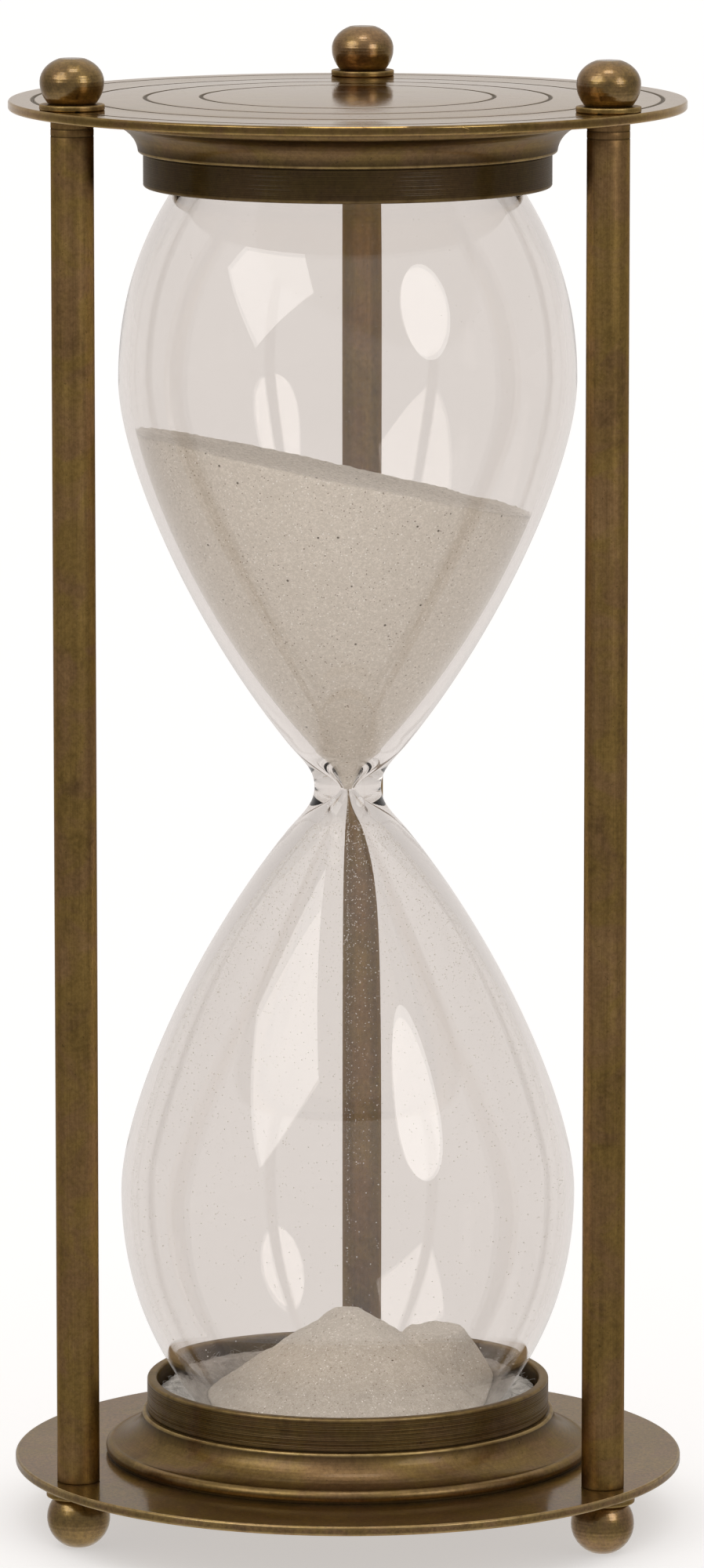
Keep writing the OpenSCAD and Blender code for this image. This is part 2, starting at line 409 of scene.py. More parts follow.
def brass(name, seed, tone=1.0, marks="round", rough=(0.26, 0.42), line=0.004, pits=0.45,
          scratches=0.0, rub=0.6, blotch=0.5, edge=0.75, coat=0.0, coat_rough=0.2, grain=1.0):
    """Aged brass: a patina in patches of olive and mauve, tool marks, pits, gold where it is
    rubbed and brown where dirt gathers. tone darkens or lightens it, marks is round or drawn,
    rough its least and most roughness, line the depth of its tool marks in millimetres, rub how
    bright its worn edges are, blotch how strong its patches are, edge how much it mirrors at a
    low angle, coat how much of a clear skin it has, and grain how strong its mottling is."""
    s = Surface(name, seed)
    dark, mid, light = (tuple(tone * c for c in shade) for shade in (DARK, MID, LIGHT))
    patches = s.noise(s.place, 22.0, 4.0, 0.6, 0.6)
    mottle = s.noise(s.place, 3.2, 5.0, 0.62, 0.3)
    fine = s.noise(s.place, 0.45, 3.0, 0.6)
    if marks == "round":
        lines = s.noise(round_axis(s), 0.22, 4.0, 0.65)
        streaks = s.noise(round_axis(s), 1.6, 3.0, 0.55)
    else:
        lines = s.noise(along_axis(s, 60.0), 0.3, 3.0, 0.6)
        streaks = s.noise(along_axis(s, 26.0), 1.3, 4.0, 0.6)
    level = s.math("MULTIPLY_ADD", patches, 0.42, s.math("MULTIPLY", mottle, 0.34))
    level = s.math("MULTIPLY_ADD", streaks, 0.24, level)
    colour = s.mix(s.spread(level, 0.34, 0.50, 1.0 - blotch, 1.0), dark, mid)
    colour = s.mix(s.spread(level, 0.50, 0.66, 0.0, blotch), colour, light)
    hue = s.mix(s.spread(s.noise(s.place, 11.0, 3.0, 0.6, 0.8), 0.38, 0.62), OLIVE, MAUVE)
    colour = s.mix(1.0, colour, hue, "MULTIPLY")
    medium = s.noise(s.place, 0.8, 4.0, 0.7)
    speckle = s.math("MULTIPLY_ADD", medium, 0.6, s.math("MULTIPLY", fine, 0.4))
    low, high = 1.0 - 0.30 * grain, 1.0 + 0.26 * grain
    shade = s.mix(s.spread(speckle, 0.36, 0.64), (low, low, low), (high, high, high))
    colour = s.mix(1.0, colour, shade, "MULTIPLY")
    colour = s.mix(s.spread(lines, 0.35, 0.75, 0.0, 0.3), colour, dark)
    spots = s.spread(s.noise(s.place, 0.9, 2.0, 0.7), 0.65, 0.74, 0.0, pits)
    colour = s.mix(spots, colour, tuple(0.4 * c for c in dark))
    rubbed = s.math("MULTIPLY", s.attribute("wear"), s.spread(mottle, 0.30, 0.62, 0.3 * rub, rub))
    colour = s.mix(rubbed, colour, WORN)
    dirt = s.math("MULTIPLY", s.attribute("grime"), s.spread(fine, 0.2, 0.6, 0.8, 1.0))
    colour = s.mix(dirt, colour, tuple(0.2 * c for c in DARK))
    gloss = s.math("MULTIPLY_ADD", level, rough[1] - rough[0], rough[0])
    gloss = s.math("MULTIPLY_ADD", speckle, 0.08 * grain, gloss)
    gloss = s.math("MULTIPLY_ADD", dirt, 0.3, gloss)
    gloss = s.math("MULTIPLY_ADD", rubbed, -0.08, gloss, clamp=True)
    height = s.math("MULTIPLY", lines, line)
    height = s.math("MULTIPLY_ADD", fine, 0.004, height)
    height = s.math("MULTIPLY_ADD", mottle, 0.015, height)
    height = s.math("MULTIPLY_ADD", spots, -0.02, height)
    if scratches > 0:
        bent = s.vector("MULTIPLY", s.place, (0.05, 1.0, 1.0))
        thin = s.spread(s.cells(bent, 2.6, "DISTANCE_TO_EDGE"), 0.0, 0.02, 1.0, 0.0)
        thin = s.math("MULTIPLY", thin, s.spread(patches, 0.45, 0.6))
        colour = s.mix(s.math("MULTIPLY", thin, scratches), colour, light)
        height = s.math("MULTIPLY_ADD", thin, -0.006, height)
    normal = s.bump(height)
    return s.finish(Base_Color=colour, Metallic=1.0, Roughness=gloss, Normal=normal,
                    Specular_Tint=(edge, 0.94 * edge, 0.86 * edge, 1.0), Coat_Weight=coat,
                    Coat_Roughness=coat_rough, Coat_Normal=normal)


GLASS_IOR = 1.5


def glass_material(name, tint):
    """Clear glass. tint is what a dusty film lets through each time light passes the surface."""
    s = Surface(name)
    return s.finish(Base_Color=(*tint, 1.0), Roughness=0.0, IOR=GLASS_IOR,
                    Transmission_Weight=1.0)


GRAIN = 0.22
SAND_DULL = (0.54, 0.485, 0.415)
SAND_PALE = (0.72, 0.66, 0.58)
# The colour the upper sand's top surface is painted towards: painted light, since the top plate keeps
# light off it.
SAND_PAINTED_TOP_LIGHT = (0.93, 0.87, 0.79)
SAND_SPECK = (0.26, 0.21, 0.16)
SAND_DOT = (0.10, 0.075, 0.05)
SAND_CLEAR = (0.86, 0.83, 0.78)
DOT_SPACING = 3.0


def sand_material(name, seed, tone):
    """Pale beige grains, with a few dark and clear ones, and now and then a larger black one.
    tone darkens or lightens the beige. It is painted light: lighter for the upper sand and darker for
    the lower heap, which lies in shade."""
    s = Surface(name, seed)
    shade = s.node("SeparateColor", {0: s.cells(s.place, GRAIN, output="Color")})
    dull, pale = [tuple(tone * part for part in sand) for sand in (SAND_DULL, SAND_PALE)]
    colour = s.mix(shade.outputs[0], dull, pale)
    patches = s.noise(s.place, 7.0, 5.0, 0.65)
    colour = s.mix(s.spread(patches, 0.35, 0.7, 0.0, 0.25), colour, dull)
    # Painted light: the top surface is painted paler where the top plate keeps light off it.
    colour = s.mix(s.math("MULTIPLY", s.attribute("surface"), 0.8), colour, SAND_PAINTED_TOP_LIGHT)
    lumps = s.spread(s.noise(s.place, 0.8, 3.0, 0.7), 0.44, 0.60, 0.0, 0.6)
    colour = s.mix(lumps, colour, dull)
    specks = s.spread(shade.outputs[1], 0.985, 0.992)
    colour = s.mix(specks, colour, SAND_SPECK)
    chosen = s.node("SeparateColor", {0: s.cells(s.place, DOT_SPACING, output="Color")}).outputs[0]
    dots = s.spread(s.cells(s.place, DOT_SPACING), 0.06, 0.10, 1.0, 0.0)
    dots = s.math("MULTIPLY", dots, s.spread(chosen, 0.60, 0.64))
    colour = s.mix(dots, colour, SAND_DOT)
    glints = s.spread(shade.outputs[2], 0.975, 0.995)
    colour = s.mix(glints, colour, SAND_CLEAR)
    gloss = s.math("MULTIPLY_ADD", glints, -0.5, 0.8)
    height = s.math("MULTIPLY", s.cells(s.place, GRAIN), -0.035)
    height = s.math("MULTIPLY_ADD", s.noise(s.place, 0.6, 2.0), 0.03, height)
    return s.finish(Base_Color=colour, Roughness=gloss, Normal=s.bump(height),
                    Specular_IOR_Level=0.4)


def dust_material(name, seed):
    """Single pale grains, a little different from each other."""
    s = Surface(name, seed)
    tint = s.mix(s.noise(s.place, 1.0), (0.60, 0.56, 0.50), (0.80, 0.75, 0.68))
    return s.finish(Base_Color=tint, Roughness=0.6)


def cotton_material():
    s = Surface("raw_cotton")
    tufts = s.noise(s.place, 2.4, 5.0, 0.65, 0.8)
    thread = s.noise(s.vector("MULTIPLY", s.place, (1.0, 1.0, 3.0)), 0.25, 3.0, 0.6, 2.5)
    colour = s.mix(s.spread(tufts, 0.3, 0.7), (0.22, 0.197, 0.170), (0.46, 0.43, 0.385))
    colour = s.mix(s.spread(thread, 0.5, 0.7, 0.0, 0.7), colour, (0.80, 0.775, 0.73))
    height = s.math("MULTIPLY_ADD", thread, 0.15, s.math("MULTIPLY", tufts, 0.3))
    return s.finish(Base_Color=colour, Roughness=0.95, Normal=s.bump(height), Sheen_Weight=0.3,
                    Sheen_Roughness=0.5)


def cork_material():
    s = Surface("stopper_cork")
    body = s.noise(s.place, 1.6, 5.0, 0.6)
    colour = s.mix(s.spread(body, 0.3, 0.7), (0.42, 0.24, 0.12), (0.66, 0.44, 0.26))
    pores = s.spread(s.cells(s.place, 1.1), 0.05, 0.22, 1.0, 0.0)
    colour = s.mix(s.math("MULTIPLY", pores, 0.8), colour, (0.12, 0.06, 0.03))
    height = s.math("MULTIPLY_ADD", pores, -0.15, s.math("MULTIPLY", body, 0.1))
    return s.finish(Base_Color=colour, Roughness=0.85, Normal=s.bump(height))


# ---------------------------------------------------------------- brass pieces

GROOVES = (27.4, 37.9, 48.4, 58.9)
GROOVE_W = 0.35
GROOVE_DEEP = 0.3
GROOVE_LIP = 0.03
# Across a groove: how many widths from its middle, how deep, wear and grime
GROOVE_SHAPE = ((-1.5, 0, 0.5, 0.1), (-1, GROOVE_LIP, 0.1, 0.9), (-0.4, GROOVE_DEEP, 0, 1),
                (0.4, GROOVE_DEEP, 0, 1), (1, GROOVE_LIP, 0.1, 0.9), (1.5, 0, 0.5, 0.1))
GROOVE_GUARD = 0.8
DOME = 0.6
DOME_R = 50.45
EDGE_R = 62.2
EDGE_BEVEL = (0.25, 0.3)
TURNED_RINGS = (*range(3, 25, 3), 30, 33, 35.5, 40.5, 43, 45.5, DOME_R, 53.8, 60.3, 62)
PLAIN_RINGS = (60.3, 53.8, 48, 40, 30, 20, 10, 0)
SHANK_HOLE_R = 2.65
LATHE_SEGMENTS = 224
DRILL_SEGMENTS = 48


def plate_rows():
    """A plate with its turned, domed face down at z 0 and its plain face up."""
    def level(r):
        return -DOME * (1 - (r / DOME_R) ** 2) if r < DOME_R else 0.0

    rows = [[0, level(0), 0, 0]]
    stops = list(TURNED_RINGS)
    for groove in GROOVES:
        stops += [groove - GROOVE_GUARD, groove, groove + GROOVE_GUARD]
    for r in sorted(stops):
        if r in GROOVES:
            for widths, deep, wear, grime in GROOVE_SHAPE:
                rows.append([r + widths * GROOVE_W, level(r) + deep, wear, grime])
        else:
            rows.append([r, level(r), 0, 0])
    across, down = EDGE_BEVEL
    rows += rounded([
        (EDGE_R, 0, 0, 0, 0),
        (PLATE_R - across, 0, 0.2, 1, 0),
        (PLATE_R, down, 0.25, 1, 0),
        (PLATE_R, PLATE_T - down, 0.25, 1, 0),
        (PLATE_R - across, PLATE_T, 0.2, 1, 0),
        (EDGE_R, PLATE_T, 0, 0, 0),
    ], guard=0.25)
    rows += [[r, PLATE_T, 0, 0] for r in PLAIN_RINGS]
    return rows


def drill(piece, places, radius, low, high):
    """Cuts upright round holes through a piece, at places in its own millimetres."""
    for k, (x, y) in enumerate(places):
        rows = [[0, low, 0, 0], [radius, low, 0, 0], [radius, high, 0, 0], [0, high, 0, 0]]
        tool = lathe(f"drill_{k}", rows, (0, 0, 0), DRILL_SEGMENTS)
        tool.data.transform(Matrix.Translation((x * MM, y * MM, 0)))
        tool.location = piece.location
        cut = piece.modifiers.new("hole", "BOOLEAN")
        cut.operation = "DIFFERENCE"
        cut.solver = "EXACT"
        cut.object = tool
        bpy.context.view_layer.update()
        graph = bpy.context.evaluated_depsgraph_get()
        done = bpy.data.meshes.new_from_object(piece.evaluated_get(graph))
        piece.modifiers.clear()
        piece.data = done
        bpy.data.objects.remove(tool)


def make_plate(end, seed):
    upper = end == "top"
    z = INNER_TOP + PLATE_T if upper else INNER_BOTTOM - PLATE_T
    piece = lathe(f"{end}_plate_turned", plate_rows(), (0, 0, z), LATHE_SEGMENTS, flip=upper)
    places = [axis_of(f"pillar_{side}") for side in SIDES]
    spare = 1
    low, high = (PLATE_T, DOME) if upper else (DOME, PLATE_T)
    drill(piece, places, SHANK_HOLE_R, -low - spare, high + spare)
    if upper:
        finish = brass("brass_top_plate", seed, rough=(0.03, 0.09), line=0.0006,
                       scratches=0.25, rub=0.35, edge=0.93, grain=0.5)
    else:
        finish = brass("brass_bottom_plate", seed, 1.1, line=0.0015, scratches=0.3, edge=0.42,
                       coat=0.55, coat_rough=0.12)
    return hand_in(piece, "frame", "plate_brass", finish, f"{end}_plate")


RING_R = 38.3
RING_WALL = 1.9
RING_H = 6.4
RING_ROUND = 0.5
RING_LINES = 15
LINE_DEEP = 0.05
LIP_R = 39.3
LIP_ROUND = 0.5
BEAD_R = 1.25
BEAD_ARC = (-40, 100)
BEAD_WORN_AT = 62
FLARE_STEPS = 64
FLARE_LEAVES = (-2.6, 0.5)
FLARE_ARRIVES = (-0.3, 2.6)


def collar_rows(shade, cut):
    """A collar on its plate at z 0: a bead, a hollow flare, a rounded lip and a fine-turned ring.
    shade is how much darker the ring is made, and cut how deep its fine lines are."""
    bore = RING_R - RING_WALL
    lip_z = COLLAR_H - RING_H - LIP_ROUND
    bead = arc(COLLAR_FOOT_R - BEAD_R, BEAD_R, BEAD_R, *BEAD_ARC, 16)
    rows = [[bore, 0, 0, 0], [bead[0][0], 0, 0, 1]]
    for k, (r, z, angle) in enumerate(bead):
        worn = max(0.0, math.cos(math.radians(angle - BEAD_WORN_AT))) ** 6
        rows.append([r, z, 0.3 * worn, max(0.0, 0.7 - 0.35 * k)])
    top = np.array(rows[-1][:2])
    lip = np.array((LIP_R, lip_z))
    flare = bezier(top, top + FLARE_LEAVES, lip - FLARE_ARRIVES, lip, FLARE_STEPS)
    for k, (r, z) in enumerate(flare[1:]):
        turned = 0.010 * noise.noise(Vector((k * 0.9, 3.3, 0.0)))
        turned += 0.012 * noise.noise(Vector((k * 0.22, 8.1, 0.0)))
        left = FLARE_STEPS - 2 - k
        rows.append([r + turned, z + turned, 0.0, max(0.0, 0.5 - 0.03 * left)])
    for r, z, _ in arc(LIP_R - LIP_ROUND, lip_z, LIP_ROUND, 0, 90, 6):
        rows.append([r, z, 0.9, 0])
    base = lip_z + LIP_ROUND
    rows.append([RING_R + 0.12, base - 0.02, 0.2, 0.5])
    rows.append([RING_R - 0.06, base + 0.05, 0, 0.8])
    rows.append([RING_R - 0.06, base + 0.2, 0, 0.8])
    rows.append([RING_R, base + 0.3, 0.2, shade])
    start = base + 0.5
    step = (COLLAR_H - 0.75 - start) / RING_LINES
    for k in range(RING_LINES):
        z = start + step * k
        inner = RING_R - cut * (LINE_DEEP + 0.03 * math.sin(3.7 * k))
        rows.append([RING_R, z, 0.1, shade])
        rows.append([RING_R, z + 0.55 * step, 0.1, shade])
        rows.append([inner, z + 0.72 * step, 0, shade + 0.3 * cut])
        rows.append([inner, z + 0.82 * step, 0, shade + 0.3 * cut])
    for r, z, _ in arc(RING_R - RING_ROUND, COLLAR_H - RING_ROUND, RING_ROUND, 0, 90, 8):
        rows.append([r, z, 0.5, 0.6 * shade])
    for k, (r, z, _) in enumerate(arc(bore + RING_ROUND, COLLAR_H - RING_ROUND, RING_ROUND, 90, 180, 8)):
        rows.append([r, z, 0.4, 0.05 * k])
    for share, dirt in ((0.9, 0.75), (0.6, 0.85), (0.3, 0.9)):
        rows.append([bore, COLLAR_H * share, 0, dirt])
    return rows


def make_collar(end, seed):
    upper = end == "top"
    z = INNER_TOP if upper else INNER_BOTTOM
    rows = collar_rows(0.6, 0.35) if upper else collar_rows(0.25, 1.0)
    name = f"{end}_collar_turned"
    piece = lathe(name, rows, (0, 0, z), LATHE_SEGMENTS, closed=True, flip=upper)
    finish = brass(f"brass_{end}_collar", seed, 0.78, rough=(0.28, 0.44), pits=0.6,
                   blotch=0.6, edge=0.5, coat=0.22, coat_rough=0.14, grain=0.6)
    return hand_in(piece, "frame", "collar_brass", finish, f"{end}_collar")


BORE_R = 2.5
BORE_DEEP = 9.5
PILLAR_END = 5.0
ROD_SEGMENTS = 72
DISC_SEGMENTS = 96
PILLAR_STEPS = 24
PILLAR_LINES = (3.0, 1.6)
LINE_HALF = 0.2


def make_pillar(side, seed):
    """A drawn rod with a bore at each end and two fine turned lines under the top plate."""
    length = INNER_TOP - INNER_BOTTOM
    end = rounded([
        (BORE_R, BORE_DEEP, 0, 0, 1),
        (BORE_R, 0, 0.3, 0, 0.3),
        (PILLAR_R, 0, 0.2, 0.5, 0.5),
        (PILLAR_R, PILLAR_END, 0, 0, 0),
    ])
    rows = [[0, BORE_DEEP, 0, 1]] + end
    for k in range(1, PILLAR_STEPS + 1):
        z = PILLAR_END + (length - 2 * PILLAR_END) * k / PILLAR_STEPS
        rows.append([PILLAR_R, z, 0, 0])
    for below in PILLAR_LINES:
        z = length - below
        rows.append([PILLAR_R, z - LINE_HALF, 0, 0.15])
        rows.append([PILLAR_R - LINE_DEEP, z, 0, 0.8])
        rows.append([PILLAR_R, z + LINE_HALF, 0, 0.25])
    rows += [[r, length - z, w, g] for r, z, w, g in reversed(end[:-1])]
    rows.append([0, length - BORE_DEEP, 0, 1])
    x, y = axis_of(f"pillar_{side}")
    piece = lathe(f"pillar_{side}_rod", rows, (x, y, INNER_BOTTOM), ROD_SEGMENTS)
    finish = brass(f"brass_pillar_{side}", seed, 1.2, marks="drawn", rough=(0.28, 0.42),
                   pits=0.5, blotch=0.6, edge=0.55, grain=0.55)
    return hand_in(piece, "frame", "pillar_brass", finish, f"pillar_{side}")


BALL_R = 6.0
BALL_FLAT_R = 2.4
BALL_STEPS = 96
SHANK_R = 2.45
THREAD_PITCH = 0.8
THREAD_DEEP = 0.38
THREAD_LEN = 8.0
THREAD_TAPER = 0.5
THREAD_START = 0.02


def ball_rows(height, seed):
    """A ball nut below its seat at z 0, with its flat at -height. The half away from the seat is
    squeezed to make up the height."""
    flat_angle = math.acos(BALL_FLAT_R / BALL_R)
    seat_above = FOOT_H - BALL_R * math.sin(flat_angle)
    cap_r = (height - seat_above) / math.sin(flat_angle)
    seat_angle = math.asin(seat_above / BALL_R)
    rows = [[0, -height, 0, 0.2], [BALL_FLAT_R / 2, -height, 0.2, 0],
            [BALL_FLAT_R - 0.2, -height, 0.6, 0]]
    for k in range(BALL_STEPS + 1):
        a = (seat_angle + flat_angle) * k / BALL_STEPS - flat_angle
        ring = noise.noise(Vector((a * 14.0, seed, 0.0)))
        ring += 0.7 * noise.noise(Vector((a * 48.0, seed, 3.0)))
        shrink = 1 - (0.045 - 0.022 * ring) / BALL_R
        tall = cap_r if a < 0 else BALL_R
        worn = 0.5 if k < 2 else 0.0
        stain = max(0.0, 1 - (BALL_STEPS - k) / 8) ** 2
        z = tall * shrink * math.sin(a) - seat_above
        rows.append([BALL_R * shrink * math.cos(a), z, worn, stain])
    rows[-1][1] = 0.0
    rows.append([SHANK_R + 0.1, 0.0, 0, 1])
    return rows


def thread_radius(z, angle, end):
    """Radius of the thread at a height and angle, tapering off at its end."""
    turn = (z / THREAD_PITCH + angle / (2 * math.pi)) % 1.0
    ridge = 1 - abs(2 * turn - 1)
    depth = THREAD_DEEP * (1 - min(1.0, max(0.0, 1.25 * ridge)))
    taper = max(0.0, z - (end - THREAD_TAPER))
    return SHANK_R - depth - taper


def make_ball(kind, side, seed):
    upper = kind == "finial"
    end = WASHER_T + PLATE_T + THREAD_LEN
    rows = ball_rows(FINIAL_H if upper else FOOT_H, seed)
    length = end - THREAD_START
    steps = int(length / THREAD_PITCH * 8)
    for k in range(steps + 1):
        rows.append([SHANK_R, THREAD_START + length * k / steps, 0.25, 0.25])
    rows.append([0, end, 0, 0.2])

    def shape(r, z, angle):
        return thread_radius(z, angle, end) if r == SHANK_R and z >= THREAD_START else r

    x, y = axis_of(f"{kind}_{side}")
    z = INNER_TOP + INNER_BOTTOM - FOOT_H if upper else FOOT_H
    name = f"{kind}_{side}_ball"
    piece = lathe(name, rows, (x, y, z), ROD_SEGMENTS, flip=upper, shape=shape, sharp=40)
    finish = brass(f"brass_{kind}_{side}", seed, 1.1, rough=(0.20, 0.34), line=0.006, edge=0.6,
                   coat=0.6, coat_rough=0.06, grain=0.8)
    return hand_in(piece, name, "ball_brass", finish, f"{kind}_{side}")


def make_washer(kind, side, seed):
    low, high = box_mm(f"{kind}_washer_{side}")
    r = (high.x - low.x) / 2
    t = high.z - low.z
    rows = rounded([
        (SHANK_HOLE_R, t / 2, 0, 0, 0.8),
        (SHANK_HOLE_R, 0, 0.1, 0, 0.5),
        (r, 0, 0.28, 1, 0),
        (r, t, 0.28, 1, 0),
        (SHANK_HOLE_R, t, 0.1, 0, 0.5),
        (SHANK_HOLE_R, t / 2 + 0.05, 0, 0, 0.8),
    ], guard=0.3)
    x, y = axis_of(f"{kind}_washer_{side}")
    piece = lathe(f"{kind}_washer_{side}_disc", rows, (x, y, low.z), DISC_SEGMENTS, closed=True)
    finish = brass(f"brass_{kind}_washer_{side}", seed, rub=0.45)
    return hand_in(piece, f"{kind}_{side}_washer", "ball_brass", finish, f"{kind}_washer_{side}")


# ---------------------------------------------------------------- glass, cork and sand

# What the dusty film on the outside lets through
FILM = (0.806, 0.758, 0.725)
HOLE_ROUND = 0.25
GLASS_SEGMENTS = 216


def make_glass():
    """Both bulbs and the neck as one wall, with the fill hole in the upper end."""
    lower_out = [(r, -d) for r, d in OUTER_HALF[:0:-1]]
    lower_in = [(r, -d) for r, d in INNER_HALF[1:]]
    outline = [(0, -GLASS_HALF)] + lower_out + [tuple(p) for p in OUTER_HALF]
    inner_end = GLASS_HALF - BULB_WALL
    hole = [(FILL_HOLE_R + 0.2, GLASS_HALF), (FILL_HOLE_R, GLASS_HALF - HOLE_ROUND),
            (FILL_HOLE_R, inner_end + HOLE_ROUND), (FILL_HOLE_R + 0.2, inner_end)]
    outline += hole + [tuple(p) for p in INNER_HALF[::-1]] + lower_in
    outline.append((0, -inner_end))
    rows = [[r, z, 0, 0] for r, z in outline]
    piece = lathe("glass_bulbs", rows, (0, 0, NECK_Z), GLASS_SEGMENTS, sharp=60)
    piece.visible_shadow = False
    piece.visible_diffuse = False
    hand_in(piece, "frame", "glass", glass_material("blown_glass", FILM), "glass")
    piece.data.materials.append(glass_material("blown_glass_inside", (1.0, 1.0, 1.0)))
    outside = GLASS_SEGMENTS * (len(lower_out) + len(OUTER_HALF))
    for face in piece.data.polygons:
        face.material_index = 0 if face.index < outside else 1
    return piece


def make_cork():
    low, high = box_mm("fill_stopper")
    r = (high.x - low.x) / 2
    t = high.z - low.z

    def shape(radius, z, angle):
        return radius - 0.05 + 0.05 * soft_noise(math.cos(angle) * 4, math.sin(angle) * 4, z, 1.3)

    rows = rounded([
        (0, 0, 0, 0, 0),
        (r - 0.3, 0, 0.4, 0, 0),
        (r - 0.15, t / 2, 0, 0, 0),
        (r, t, 0.4, 0, 0),
        (0, t, 0, 0, 0),
    ])
    piece = lathe("fill_stopper_cork", rows, (0, 0, low.z), DISC_SEGMENTS, shape=shape)
    return hand_in(piece, "frame", "cork", cork_material(), "fill_stopper")


SAND_SEGMENTS = 320
SAND_ROWS = 110


def rim_distance(angle, surface, way, low, high):
    """How far from the neck a surface of sand meets the glass at an angle. way is 1 above the
    neck and -1 below it, and the answer is between low and high."""
    for _ in range(28):
        middle = (low + high) / 2
        r = radius_at(SAND_HALF, middle)
        if way * surface(r * math.cos(angle), r * math.sin(angle)) > middle:
            low = middle
        else:
            high = middle
    return low


def polar_solid(name, walls, surface, painted_top_light):
    """A body of sand: walls(angle) gives its side from the axis below to the rim, and
    surface(x, y) its height. Both are millimetres. The last argument is how strongly its top surface is
    painted paler: painted light where the plate above keeps light off it."""
    angles = [2 * math.pi * k / SAND_SEGMENTS for k in range(SAND_SEGMENTS)]
    sides = [walls(a) for a in angles]
    rings = [[0]]
    vertices = [(0, 0, sides[0][0][1])]
    for i in range(1, len(sides[0])):
        rings.append(list(range(len(vertices), len(vertices) + SAND_SEGMENTS)))
        for a, side in zip(angles, sides):
            r, z = side[i]
            vertices.append((r * math.cos(a), r * math.sin(a), z))
    for j in range(1, SAND_ROWS):
        share = 1 - j / SAND_ROWS
        rings.append(list(range(len(vertices), len(vertices) + SAND_SEGMENTS)))
        for a, side in zip(angles, sides):
            r = side[-1][0] * share
            x, y = r * math.cos(a), r * math.sin(a)
            vertices.append((x, y, surface(x, y)))
    rings.append([len(vertices)])
    vertices.append((0, 0, surface(0, 0)))
    # Only the top surface carries the painted light.
    painted_light_on_top = np.zeros(len(vertices), np.float32)
    painted_light_on_top[rings[len(sides[0])][0]:] = painted_top_light
    return make_object(name, vertices, skin(rings), (0, 0, NECK_Z), {"surface": painted_light_on_top}, sharp=180)


UPPER_SAND_H = 60.0
UPPER_TILT_X = 12.0
UPPER_TILT_Y = 5.0
UPPER_RIM_LIMIT = 90.0
UPPER_WALL_STEPS = 90


def upper_surface(x, y):
    """Height of the upper sand's surface above the neck."""
    z = UPPER_SAND_H - x * math.tan(math.radians(UPPER_TILT_X))
    z -= y * math.tan(math.radians(UPPER_TILT_Y))
    z -= 0.5 + 0.35 * soft_noise(x, y, 0, 9.0, 4.1) + 0.2 * soft_noise(x, y, 0, 1.6, 2.2)
    return z + 0.17 * soft_noise(x, y, 0, 0.8, 7.7)


def make_upper_sand():
    start = float(SAND_HALF[0, 1])

    def walls(angle):
        rim = rim_distance(angle, upper_surface, 1, start, UPPER_RIM_LIMIT)
        side = [(0.0, start)]
        for i in range(UPPER_WALL_STEPS + 1):
            d = start + (rim - start) * i / UPPER_WALL_STEPS
            side.append((radius_at(SAND_HALF, d), d))
        return side

    # The upper sand's top surface is painted paler, as painted light.
    piece = polar_solid("upper_sand_fill", walls, upper_surface, 0.9)
    # tone 1.07 is painted light: this is the same sand as the lower heap, drawn lighter.
    return hand_in(piece, "frame", "sand", sand_material("sand_upper", 3.0, 1.07), "upper_sand")


# The lower sand. Heights are above the inner side of the bottom plate, slopes are degrees, a tip
# is the radius of a heap's flat top, and LUMP_ROOM keeps its lumps below its height.
LOWER_BASE = 9.8
HEAP_H = 28.0
HEAP_SLOPE = 34.5
HEAP_TIP = 2.8
SIDE_HEAP = (16.5, 7.0)
SIDE_HEAP_H = 22.9
SIDE_HEAP_TIP = 5.6
SIDE_HEAP_SLOPE = 57.0
HEAP_BLEND = 0.7
LUMP_ROOM = 0.4
TIP_SMOOTH = 6
END_STEPS = 5
LOWER_WALL_STEPS = 24


def heap(x, y, middle, height, tip, slope, rough):
    """Height of one heap at x, y. It is smooth at its tip."""
    far = math.hypot(x - middle[0], y - middle[1])
    drop = max(0.0, far - tip) * math.tan(math.radians(slope))
    return height - LUMP_ROOM - drop + rough * min(1.0, far / TIP_SMOOTH)


def lower_surface(x, y):
    """Height of the lower sand's surface above the neck, so below 0."""
    rough = 0.5 * soft_noise(x, y, 0, 4.0, 1.9) + 0.22 * soft_noise(x, y, 0, 1.3, 5.3)
    heights = (
        LOWER_BASE - 0.5 + 0.4 * soft_noise(x, y, 0, 6.0, 8.8),
        heap(x, y, (0, 0), HEAP_H, HEAP_TIP, HEAP_SLOPE, rough),
        heap(x, y, SIDE_HEAP, SIDE_HEAP_H, SIDE_HEAP_TIP, SIDE_HEAP_SLOPE, rough),
    )
    level = sum(math.exp(height / HEAP_BLEND) for height in heights)
    return INNER_BOTTOM - NECK_Z + HEAP_BLEND * math.log(level) - 0.2


def make_lower_sand():
    end_r, end_d = (float(c) for c in SAND_HALF[-1])

    def walls(angle):
        rim = rim_distance(angle, lower_surface, -1, BELLY_Y, end_d)
        side = [(end_r * i / END_STEPS, -end_d) for i in range(END_STEPS + 1)]
        for i in range(1, LOWER_WALL_STEPS + 1):
            d = end_d + (rim - end_d) * i / LOWER_WALL_STEPS
            side.append((radius_at(SAND_HALF, d), -d))
        return side

    piece = polar_solid("lower_sand_heap", walls, lower_surface, 0.0)
    # tone 0.87 is painted shade: the lower heap lies in shade, so the same sand is drawn darker.
    return hand_in(piece, "frame", "sand", sand_material("sand_lower", 11.0, 0.87), "lower_sand")


